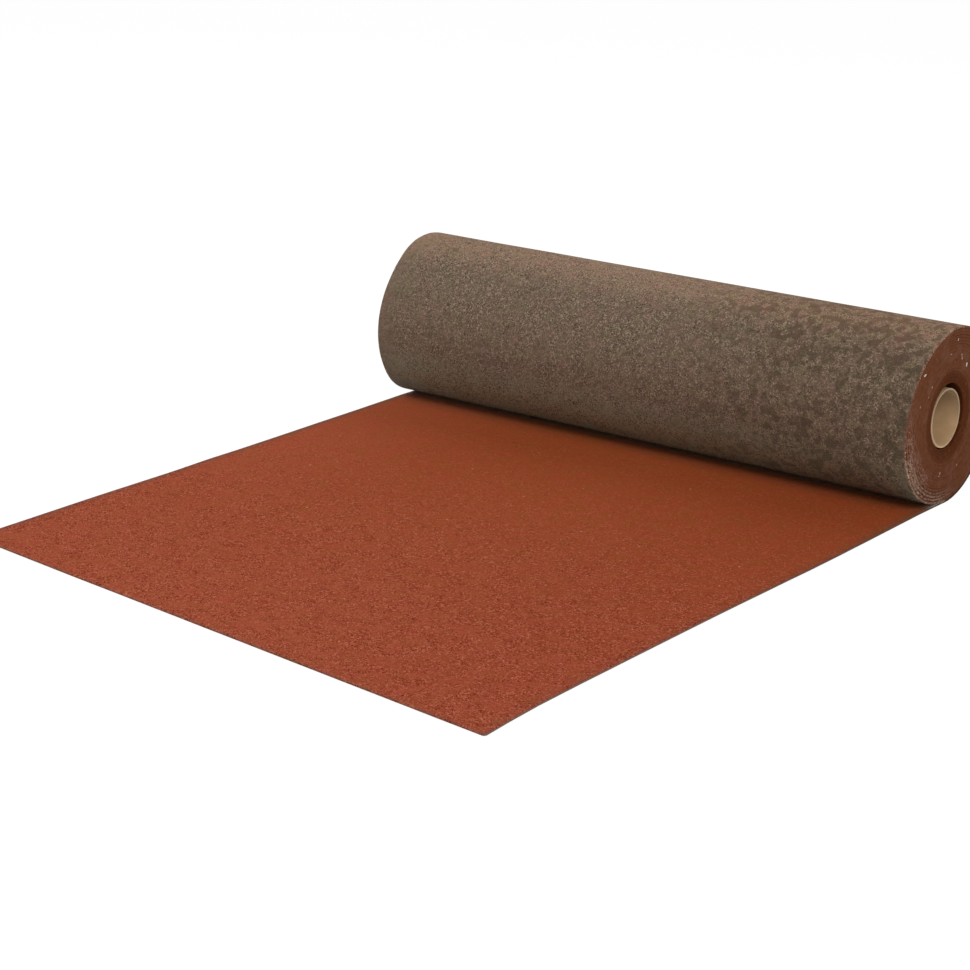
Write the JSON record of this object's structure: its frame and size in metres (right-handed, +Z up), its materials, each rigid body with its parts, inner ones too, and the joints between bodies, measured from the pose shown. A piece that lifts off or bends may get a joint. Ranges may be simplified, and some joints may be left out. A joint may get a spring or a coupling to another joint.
{
  "type": "roll of roofing felt",
  "caption": "Part-used roll of mineral-surfaced roofing felt on a cardboard core tube, with a length laid out flat in front, mineral face up.",
  "frame": {"origin": "bottom centre of the whole part's box, on the floor that the laid length lies on", "axes": "+X along the roll's axis, towards the end where the laid length is longer; +Y from the free end towards the roll; +Z up"},
  "size_m": [0.705, 0.9328, 0.1937],
  "materials": {
    "mineral_felt": "matte",
    "sanded_back": "matte",
    "cut_edge": "matte",
    "core_board": "matte"
  },
  "bodies": {
    "root": {"felt_sheet": "mineral_felt", "core_tube": "core_board"}
  },
  "joints": []
}
